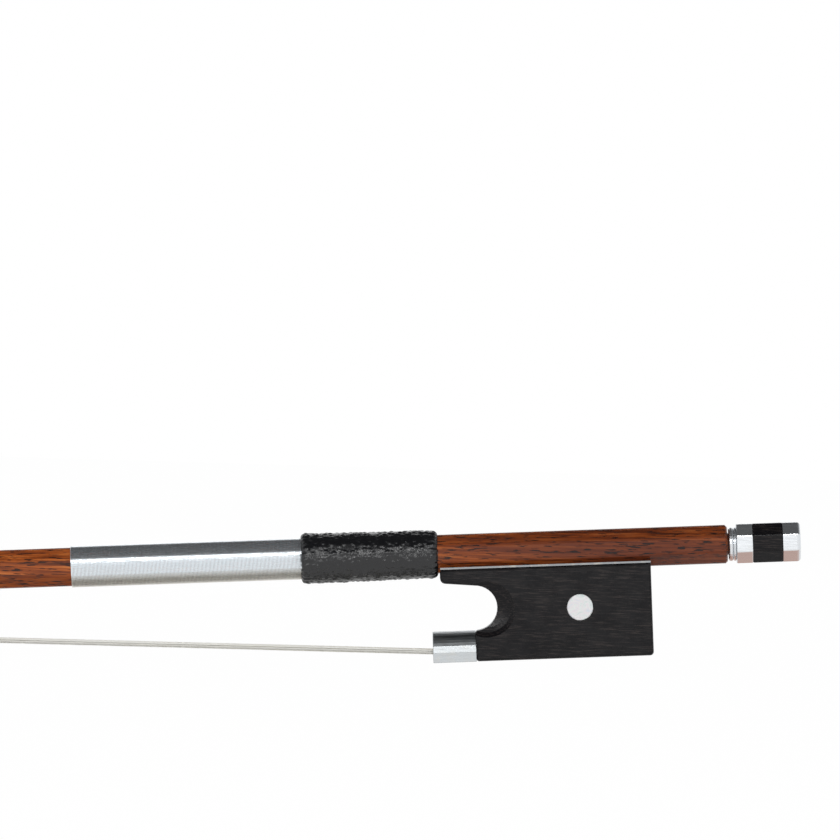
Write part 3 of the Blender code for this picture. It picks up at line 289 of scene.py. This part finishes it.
def ebony():
    """Near-black wood with short, fine, slightly paler grain lines."""
    made, tree, shader = new_material("polished_ebony", Specular_IOR_Level=0.17)
    grain = clouds(tree, stretched(tree, (230, 4800, 4800)), 4.0, 0.7)
    streaks = between(tree, grain, 0.50, 0.66, 0.0, 1.0)
    colour = blend_colours(tree, streaks, (0.0050, 0.0045, 0.0056), (0.040, 0.032, 0.030))
    tree.links.new(colour, shader.inputs["Base Color"])
    cloud = clouds(tree, stretched(tree, (300, 300, 300)), 3.0)
    tree.links.new(between(tree, cloud, 0.3, 0.7, 0.22, 0.34), shader.inputs["Roughness"])
    tree.links.new(relief(tree, grain, 0.00003, 0.45), shader.inputs["Normal"])
    return made


def silver(name, tint=(0.78, 0.80, 0.81), smooth=0.20, stain=0.16):
    """Polished silver with hair-fine scratches and a faint warm tarnish."""
    made, tree, shader = new_material(name, Metallic=1.0)
    tarnish = clouds(tree, stretched(tree, (420, 420, 420)), 5.0, 0.6)
    stained = between(tree, tarnish, 0.50, 0.72, 0.0, stain)
    colour = blend_colours(tree, stained, tint, (0.60, 0.55, 0.46))
    tree.links.new(colour, shader.inputs["Base Color"])
    scratches = clouds(tree, stretched(tree, (260, 5200, 5200), (0.0, 0.25, 0.35)), 3.0, 0.7)
    rough = between(tree, scratches, 0.35, 0.70, smooth, smooth + 0.16)
    tree.links.new(rough, shader.inputs["Roughness"])
    tree.links.new(relief(tree, scratches, 0.000012, 0.5), shader.inputs["Normal"])
    return made, tree, shader, colour


def ferrule_silver():
    """The ferrule's silver, with a painted reflection: darker towards the frog, at its top, and paler
    towards its bottom.
    """
    made, tree, shader, colour = silver("ferrule_silver", (0.47, 0.49, 0.50), 0.30, 0.22)
    place = put(tree, "SeparateXYZ", Vector=put(tree, "TexCoord").outputs["Object"])
    # painted reflection: the silver is painted darker towards the top and paler towards the bottom
    height = between(tree, place.outputs["Z"], 0.0015, 0.0125, 0.0, 0.72)
    painted_reflection_colour = blend_colours(tree, height, colour, (0.15, 0.165, 0.17))
    tree.links.new(painted_reflection_colour, shader.inputs["Base Color"])
    return made


def button_silver():
    """The button's silver, with a painted copper reflection on the facets that face down at rest."""
    made, tree, shader, colour = silver("button_silver", (0.76, 0.78, 0.80), 0.20, 0.10)
    facing = put(tree, "SeparateXYZ", Vector=put(tree, "TexCoord").outputs["Normal"])
    # painted reflection: facets that face down are painted copper, for the warm surroundings they reflect
    painted_downward_reflection = between(tree, facing.outputs["Z"], -0.80, -0.45, 0.85, 0.0)
    colour = blend_colours(tree, painted_downward_reflection, colour, (0.36, 0.17, 0.11))
    tree.links.new(colour, shader.inputs["Base Color"])
    return made


def wire_silver():
    """Bright drawn wire, with a painted tan reflection on its underside."""
    made, tree, shader, colour = silver("drawn_silver_wire", (0.82, 0.86, 0.89), 0.16, 0.0)
    facing = put(tree, "SeparateXYZ", Vector=put(tree, "TexCoord").outputs["Normal"])
    # painted reflection: the wire's underside is painted tan, for the warm surroundings below it
    painted_downward_reflection = between(tree, facing.outputs["Z"], -0.75, -0.35, 0.75, 0.0)
    colour = blend_colours(tree, painted_downward_reflection, colour, (0.62, 0.56, 0.47))
    tree.links.new(colour, shader.inputs["Base Color"])
    return made


def mother_of_pearl():
    """White pearl with faint green, pink and blue waves under a clear gloss."""
    made, tree, shader = new_material("mother_of_pearl", Coat_Weight=0.8, Coat_Roughness=0.06)
    waves = clouds(tree, stretched(tree, (330, 120, 420)), 4.0, 0.5, 1.6)
    colour = ramp(
        tree,
        waves,
        [
            (0.34, (0.74, 0.84, 0.82)),
            (0.46, (0.95, 0.96, 0.95)),
            (0.55, (0.95, 0.89, 0.91)),
            (0.68, (0.82, 0.88, 0.94)),
        ],
    )
    tree.links.new(colour, shader.inputs["Base Color"])
    tree.links.new(between(tree, waves, 0.3, 0.7, 0.12, 0.26), shader.inputs["Roughness"])
    tree.links.new(relief(tree, waves, 0.00003, 0.25), shader.inputs["Normal"])
    return made


def bone():
    """Ivory-white plate with a faint grain."""
    made, tree, shader = new_material("white_bone", Coat_Weight=0.3, Coat_Roughness=0.12)
    grain = clouds(tree, stretched(tree, (120, 1500, 1500)), 4.0)
    colour = ramp(tree, grain, [(0.30, (0.70, 0.66, 0.55)), (0.52, (0.86, 0.84, 0.78))])
    tree.links.new(colour, shader.inputs["Base Color"])
    tree.links.new(between(tree, grain, 0.3, 0.7, 0.36, 0.24), shader.inputs["Roughness"])
    tree.links.new(relief(tree, grain, 0.00002, 0.3), shader.inputs["Normal"])
    return made


def black_leather():
    """Glossy black skin with fine creases between its pebbles, painted a shade darker in the creases."""
    made, tree, shader = new_material("black_leather", Specular_IOR_Level=0.60)
    skin = stretched(tree, (1500, 1500, 1500))
    cells = put(tree, "TexVoronoi", {"feature": "DISTANCE_TO_EDGE"}, Vector=skin)
    edge = between(tree, cells.outputs["Distance"], 0.0, 0.35, 0.0, 1.0)
    wrinkle = clouds(tree, stretched(tree, (500, 900, 900)), 5.0, 0.6)
    # painted shade: the creases between the pebbles are painted darker than the pebbles' tops
    colour = blend_colours(tree, edge, (0.002, 0.002, 0.003), (0.004, 0.004, 0.006))
    tree.links.new(colour, shader.inputs["Base Color"])
    tree.links.new(between(tree, wrinkle, 0.35, 0.65, 0.20, 0.32), shader.inputs["Roughness"])
    folds = relief(tree, wrinkle, 0.00003, 0.4)
    tree.links.new(relief(tree, edge, 0.00002, 0.4, folds), shader.inputs["Normal"])
    return made


def horsehair():
    """Pale hair, each strand a little warmer or whiter than the next."""
    made, tree, shader = new_material("horsehair", Specular_IOR_Level=0.5)
    strands = clouds(tree, stretched(tree, (4, 5200, 5200)), 2.0)
    colour = ramp(
        tree,
        strands,
        [(0.32, (0.80, 0.75, 0.62)), (0.46, (0.95, 0.93, 0.86)), (0.60, (0.99, 0.98, 0.94))],
    )
    tree.links.new(colour, shader.inputs["Base Color"])
    tree.links.new(between(tree, strands, 0.3, 0.7, 0.34, 0.52), shader.inputs["Roughness"])
    scales = clouds(tree, stretched(tree, (2600, 2600, 2600)), 2.0)
    tree.links.new(relief(tree, scales, 0.00001, 0.3), shader.inputs["Normal"])
    return made


def turned_metal(name, tint):
    """Bare metal with fine turning marks."""
    made, tree, shader = new_material(name, Metallic=1.0)
    marks = clouds(tree, stretched(tree, (5200, 200, 200)), 3.0, 0.7)
    colour = blend_colours(tree, marks, tint, tuple(0.7 * part for part in tint))
    tree.links.new(colour, shader.inputs["Base Color"])
    tree.links.new(between(tree, marks, 0.3, 0.7, 0.24, 0.42), shader.inputs["Roughness"])
    tree.links.new(relief(tree, marks, 0.00001, 0.5), shader.inputs["Normal"])
    return made


def maple():
    """Bare pale wood of the plugs and the wedge."""
    made, tree, shader = new_material("bare_maple")
    grain = clouds(tree, stretched(tree, (200, 2400, 2400)), 5.0)
    colour = ramp(tree, grain, [(0.30, (0.42, 0.26, 0.14)), (0.62, (0.78, 0.60, 0.42))])
    tree.links.new(colour, shader.inputs["Base Color"])
    tree.links.new(between(tree, grain, 0.3, 0.7, 0.72, 0.52), shader.inputs["Roughness"])
    tree.links.new(relief(tree, grain, 0.00003, 0.5), shader.inputs["Normal"])
    return made


def dress_nodes():
    """Gives each CAD node that shows the finish of its material slot."""
    finishes = {
        "pernambuco": pernambuco(),
        "ebony": ebony(),
        "silver": silver("worn_silver")[0],
        "mother_of_pearl": mother_of_pearl(),
        "white_plate": bone(),
        "black_leather": black_leather(),
        "horsehair": horsehair(),
        "brass": turned_metal("satin_brass", (0.72, 0.52, 0.22)),
        "screw_steel": turned_metal("turned_steel", (0.58, 0.58, 0.60)),
        "maple": maple(),
    }
    button = button_silver()
    # painted shade: the underslide, tucked in the shade under the stick, gets a dull, tarnished silver
    # painted dark
    shaded_underslide_silver = silver("dull_shaded_silver", (0.27, 0.28, 0.29), 0.34, 0.55)[0]
    special = {
        "ferrule": ferrule_silver(),
        "underslide": shaded_underslide_silver,
        "button_collar": button,
        "button_end_cap": button,
    }
    for part in frame["record"]["subparts"]:
        node = frame["nodes"][part["node"]]
        finish = special.get(part["node"], finishes[part["material_slot"]])
        if not node.material_slots:
            node.data.materials.append(finish)
        for slot in node.material_slots:
            slot.link = "OBJECT"
            slot.material = finish
    return finishes


# Pieces made here


def mesh_piece(name, points, faces, finish):
    """A smooth-shaded object from points and faces."""
    mesh = bpy.data.meshes.new(name)
    mesh.from_pydata(points, [], faces)
    mesh.validate()
    mesh.shade_smooth()
    mesh.materials.append(finish)
    piece = bpy.data.objects.new(name, mesh)
    bpy.context.scene.collection.objects.link(piece)
    return piece


def add_tube(points, faces, rings):
    """Adds a closed tube through rings that have equally many points."""
    first = len(points)
    sides = len(rings[0])
    for ring in rings:
        points.extend(ring)
    for row in range(len(rings) - 1):
        for side in range(sides):
            a = first + row * sides + side
            b = first + row * sides + (side + 1) % sides
            faces.append((a, b, b + sides, a + sides))
    faces.append(tuple(range(first + sides - 1, first - 1, -1)))
    last = first + (len(rings) - 1) * sides
    faces.append(tuple(range(last, last + sides)))


def octagon_radius(angle, apothem):
    """Distance from the axis to an eight-sided section's edge, at an angle round it."""
    eighth = math.pi / 4
    return apothem / math.cos((angle + eighth / 2) % eighth - eighth / 2)


def make_lapping(finish):
    """One silver wire wound round the eight-sided handle, turn beside turn."""
    radius = WIRE_DIAMETER / 2
    turns = round(LAPPING_LENGTH / WIRE_DIAMETER)
    apothem = STICK_APOTHEM + radius + WIRE_GAP
    corners = []
    for corner in range(8):
        for offset in (-WIRE_CORNER_SHARE, WIRE_CORNER_SHARE):
            corners.append((corner + 0.5 + offset * 0.5) * math.pi / 4)
    rings = []
    steps = turns * len(corners)
    for step in range(steps + 1):
        angle = corners[step % len(corners)]
        x = LAPPING_FRONT + radius + (LAPPING_LENGTH - 2 * radius) * step / steps
        reach = octagon_radius(angle, apothem)
        outward = ACROSS * math.cos(angle) + UP * math.sin(angle)
        centre = handle(x, 0, 0) + outward * reach
        ring = []
        for side in range(WIRE_SIDES):
            turn = 2 * math.pi * side / WIRE_SIDES
            ring.append(centre + (outward * math.cos(turn) + ALONG * math.sin(turn)) * radius)
        rings.append(ring)
    points, faces = [], []
    add_tube(points, faces, rings)
    piece = mesh_piece("wound_silver_wire", points, faces, finish)
    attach(piece, STICK_BODY)
    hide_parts("silver_lapping")


def leather_profile():
    """Places along the grip, each with how far its rounded ends drop there."""
    rounding = LEATHER_ROUNDING
    straight = LEATHER_REAR - LEATHER_FRONT - 2 * rounding
    arcs = []
    for n in range(LEATHER_ROUNDING_STEPS + 1):
        angle = math.pi / 2 * n / LEATHER_ROUNDING_STEPS
        arcs.append((rounding * (1 - math.cos(angle)), rounding * (1 - math.sin(angle))))
    profile = [(LEATHER_FRONT + along, drop) for along, drop in arcs]
    for n in range(1, LEATHER_ROWS):
        profile.append((LEATHER_FRONT + rounding + straight * n / LEATHER_ROWS, 0.0))
    profile.extend((LEATHER_REAR - drop, along) for along, drop in arcs)
    return profile


def leather_reach(x, drop, angle):
    """How far the leather's skin stands from the handle's axis."""
    share = (x - LEATHER_FRONT) / (LEATHER_REAR - LEATHER_FRONT)
    radius = LEATHER_RADIUS_FRONT + (LEATHER_RADIUS_REAR - LEATHER_RADIUS_FRONT) * share
    edge = min(x - LEATHER_FRONT, LEATHER_REAR - x)
    place = Vector((x, math.cos(angle) * radius, math.sin(angle) * radius))
    distances, _ = noise.voronoi(place / PEBBLE_SIZE)
    pebble = 1 - min(distances[0] ** 2 / PEBBLE_SPREAD, 1.0)
    swell = noise.noise(place / SWELL_SIZE) * SWELL_HEIGHT
    pucker = math.exp(-edge / PUCKER_REACH) * math.sin(angle * PUCKERS) * PUCKER_DEPTH
    seam_offset = (angle - 1.5 * math.pi) * radius
    seam = math.exp(-((seam_offset / SEAM_WIDTH) ** 2)) * SEAM_DEPTH
    octagon = octagon_radius(angle, radius * LEATHER_FLATNESS)
    out = min(radius, radius * LEATHER_ROUND_SHARE + octagon * (1 - LEATHER_ROUND_SHARE))
    reach = out - drop + swell + pucker - seam - PEBBLE_DEPTH * (1 - pebble)
    return max(reach, LEATHER_LEAST_RADIUS)


def make_leather(finish):
    """The leather grip: pebbled skin drawn in at both ends, with a seam along its underside."""
    sides = LEATHER_SIDES
    angles = [2 * math.pi * side / sides for side in range(sides)]
    rows = []
    for x, drop in leather_profile():
        rows.append((x, [leather_reach(x, drop, angle) for angle in angles]))
    bore = [octagon_radius(angle, STICK_APOTHEM + LEATHER_BORE_GAP) for angle in angles]
    rows.append((LEATHER_REAR - LEATHER_BORE_INSET, bore))
    rows.append((LEATHER_FRONT + LEATHER_BORE_INSET, bore))
    points, faces = [], []
    for x, reaches in rows:
        for angle, reach in zip(angles, reaches):
            outward = ACROSS * math.cos(angle) + UP * math.sin(angle)
            points.append(handle(x, 0, 0) + outward * reach)
    for row in range(len(rows)):
        first = row * sides
        following = (row + 1) % len(rows) * sides
        for side in range(sides):
            beside = (side + 1) % sides
            faces.append((first + side, first + beside, following + beside, following + side))
    piece = mesh_piece("leather_grip", points, faces, finish)
    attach(piece, STICK_BODY)
    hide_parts("thumb_leather")


def hair_path(start, mouth, end, above, wander, phase):
    """Places along one hair, each with its share of the way from head to frog."""
    path = []
    for step in range(HAIR_FOLD_STEPS):
        angle = math.radians(180 + 90 * step / HAIR_FOLD_STEPS)
        reach = HAIR_FOLD - above
        centre = start + Vector((0, 0, HAIR_FOLD))
        place = centre + Vector((reach * math.cos(angle), 0, reach * math.sin(angle)))
        path.append((place, 0.0))
    for step in range(HAIR_STEPS + 1):
        share = step / HAIR_STEPS
        place = start.lerp(mouth, share) + Vector((0, 0, above))
        place.z += wander * math.sin(phase + share * 9) * math.sin(math.pi * share)
        path.append((place, share))
    path.append((end + UP * above, 1.0))
    return path


def hair_ring(place, share, across, wander, phase):
    """One hair's section, at its place in the ribbon's width."""
    half = HAIR_HALF_WIDTH_HEAD + (HAIR_HALF_WIDTH_FROG - HAIR_HALF_WIDTH_HEAD) * share
    drift = wander * math.cos(phase + share * 7) * math.sin(math.pi * share)
    centre = place + ACROSS * (across * (half - HAIR_RADIUS) + drift)
    ring = []
    for side in range(HAIR_SIDES):
        turn = 2 * math.pi / HAIR_SIDES * side + math.pi / HAIR_SIDES
        ring.append(centre + Vector((0, math.cos(turn), math.sin(turn))) * HAIR_RADIUS)
    return ring


def make_hair(finish):
    """Loose stretched hairs from the head's fold to the ferrule."""
    chance = random.Random(7)
    start = Vector((HAIR_HEAD_X, 0, HAIR_THICKNESS / 2))
    mouth = handle(HAIR_FROG_X, 0, HAIR_FROG_Z)
    end = handle(HAIR_END_X, 0, HAIR_FROG_Z)
    points, faces = [], []
    columns = HAIR_COUNT // HAIR_LAYERS
    for n in range(HAIR_LAYERS * columns):
        layer, column = divmod(n, columns)
        across = (column + 0.5 + chance.uniform(-0.45, 0.45)) / columns * 2 - 1
        depth = (layer + 0.5 + chance.uniform(-0.4, 0.4)) / HAIR_LAYERS * 2 - 1
        above = depth * (HAIR_THICKNESS / 2 - HAIR_RADIUS)
        wander = chance.uniform(-HAIR_WANDER, HAIR_WANDER)
        phase = chance.uniform(0, 2 * math.pi)
        path = hair_path(start, mouth, end, above, wander, phase)
        add_tube(points, faces, [hair_ring(place, share, across, wander, phase) for place, share in path])
    piece = mesh_piece("bow_hairs", points, faces, finish)
    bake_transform(piece)
    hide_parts("hair_ribbon")


# Studio


def make_floor():
    """A plain floor, almost white to the camera, that keeps a faint shadow."""
    mesh = bpy.data.meshes.new("floor")
    corners = [(-1, -1), (1, -1), (1, 1), (-1, 1)]
    points = [(x * FLOOR_REACH, y * FLOOR_REACH, FLOOR_LEVEL) for x, y in corners]
    mesh.from_pydata(points, [], [(0, 1, 2, 3)])
    floor = bpy.data.objects.new("floor", mesh)
    bpy.context.scene.collection.objects.link(floor)
    made = bpy.data.materials.new("pale_floor")
    made.use_nodes = True
    tree = made.node_tree
    tree.nodes.clear()
    plain = put(tree, "BsdfDiffuse", Color=(0.90, 0.90, 0.89, 1.0))
    glow = put(tree, "Emission", Color=(1.0, 1.0, 1.0, 1.0), Strength=1.0)
    seen = seen_rays(tree)
    share = put(tree, "Math", {"operation": "MULTIPLY"})
    connect(tree, share.inputs[0], seen)
    share.inputs[1].default_value = FLOOR_GLOW_SHARE
    mixed = put(tree, "MixShader", Fac=share.outputs[0])
    tree.links.new(plain.outputs[0], mixed.inputs[1])
    tree.links.new(glow.outputs[0], mixed.inputs[2])
    output = put(tree, "OutputMaterial")
    tree.links.new(mixed.outputs[0], output.inputs["Surface"])
    mesh.materials.append(made)


def seen_rays(tree):
    """1 for a ray from the camera, or through or off something glossy, and else 0."""
    path = put(tree, "LightPath")
    first = put(tree, "Math", {"operation": "MAXIMUM"})
    connect(tree, first.inputs[0], path.outputs["Is Camera Ray"])
    connect(tree, first.inputs[1], path.outputs["Is Glossy Ray"])
    second = put(tree, "Math", {"operation": "MAXIMUM"})
    connect(tree, second.inputs[0], first.outputs[0])
    connect(tree, second.inputs[1], path.outputs["Is Transmission Ray"])
    return second.outputs[0]


def make_world():
    """White to the camera; to the object, pale round the sides and dim overhead."""
    world = bpy.data.worlds.new("studio")
    world.use_nodes = True
    tree = world.node_tree
    tree.nodes.clear()
    direction = put(tree, "SeparateXYZ", Vector=put(tree, "TexCoord").outputs["Generated"])
    height = between(tree, direction.outputs["Z"], 0.15, 0.85, 1.0, 0.10)
    room = put(tree, "Background", Color=(0.97, 0.985, 1.0, 1.0), Strength=height)
    white = put(tree, "Background", Color=(1.0, 1.0, 1.0, 1.0), Strength=1.0)
    path = put(tree, "LightPath")
    mixed = put(tree, "MixShader", Fac=path.outputs["Is Camera Ray"])
    tree.links.new(room.outputs[0], mixed.inputs[1])
    tree.links.new(white.outputs[0], mixed.inputs[2])
    output = put(tree, "OutputWorld")
    tree.links.new(mixed.outputs[0], output.inputs["Surface"])
    bpy.context.scene.world = world


def add_lamp(name, place, target, width, height, power):
    """A rectangular lamp that faces a target."""
    data = bpy.data.lights.new(name, "AREA")
    data.shape = "RECTANGLE"
    data.size = width
    data.size_y = height
    data.energy = power
    lamp = bpy.data.objects.new(name, data)
    lamp.location = place
    lamp.rotation_euler = (Vector(target) - Vector(place)).to_track_quat("-Z", "Y").to_euler()
    bpy.context.scene.collection.objects.link(lamp)


def make_camera():
    """Square on to the bow's side, through a long lens."""
    right = Vector((math.cos(PICTURE_ROLL), 0, math.sin(PICTURE_ROLL)))
    up = Vector((-math.sin(PICTURE_ROLL), 0, math.cos(PICTURE_ROLL)))
    middle = IMAGE_SIZE / 2
    target = BUTT + right * (middle - BUTT_PIXEL[0]) * CROP_SCALE
    target = target + up * (BUTT_PIXEL[1] - middle) * CROP_SCALE
    data = bpy.data.cameras.new("camera")
    data.sensor_width = SENSOR
    data.lens = SENSOR * CAMERA_DISTANCE / (IMAGE_SIZE * CROP_SCALE)
    data.clip_end = 50.0
    camera = bpy.data.objects.new("camera", data)
    turn = Matrix((right, up, right.cross(up))).transposed().to_4x4()
    camera.matrix_world = Matrix.Translation(target + Vector((0, -CAMERA_DISTANCE, 0))) @ turn
    bpy.context.scene.collection.objects.link(camera)
    bpy.context.scene.camera = camera


make_camera()
make_world()
make_floor()
add_lamp("front_softbox", (0.10, -1.55, 0.60), (0.05, 0, 0.02), 1.4, 0.08, 9.0)
add_lamp("rear_softbox", (-0.10, 1.60, 0.80), (0.0, 0, 0.02), 2.4, 0.7, 5.0)
finishes = dress_nodes()
make_lapping(wire_silver())
make_leather(finishes["black_leather"])
make_hair(finishes["horsehair"])
bpy.context.scene.view_settings.view_transform = "Standard"
